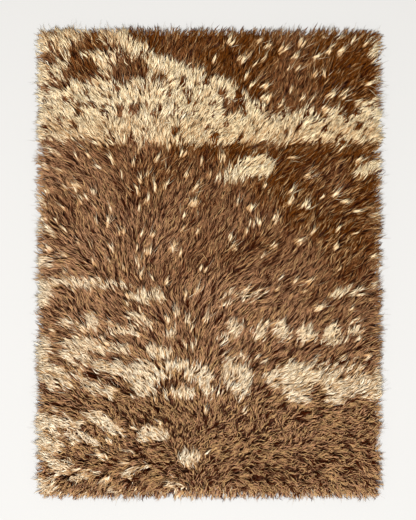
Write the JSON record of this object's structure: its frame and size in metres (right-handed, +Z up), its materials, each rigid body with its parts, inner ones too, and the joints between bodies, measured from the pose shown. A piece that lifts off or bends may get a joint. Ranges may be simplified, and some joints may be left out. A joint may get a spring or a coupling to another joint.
{
  "type": "gabbeh rug",
  "caption": "Rectangular knotted wool rug with long shaggy pile in natural brown and cream, lying flat, with pointed locks over its whole rim and a flat woven back.",
  "frame": {"origin": "on the floor under the middle of the rug's overall box", "axes": "+Z up from the floor, +Y along the rug's length in the direction in which the pile is combed, +X to the right seen from above with +Y at the top"},
  "size_m": [1.2474, 1.6852, 0.053],
  "materials": {
    "brown_wool": "long hand-spun pile of undyed brown sheep's wool, matt with a soft sheen, in pointed wavy locks",
    "cream_wool": "long hand-spun pile of undyed cream sheep's wool, matt with a soft sheen, in pointed wavy locks",
    "woven_ground": "wool warp and weft with rows of knots that show on the back"
  },
  "bodies": {
    "root": {"rug": "brown_wool"}
  },
  "joints": []
}
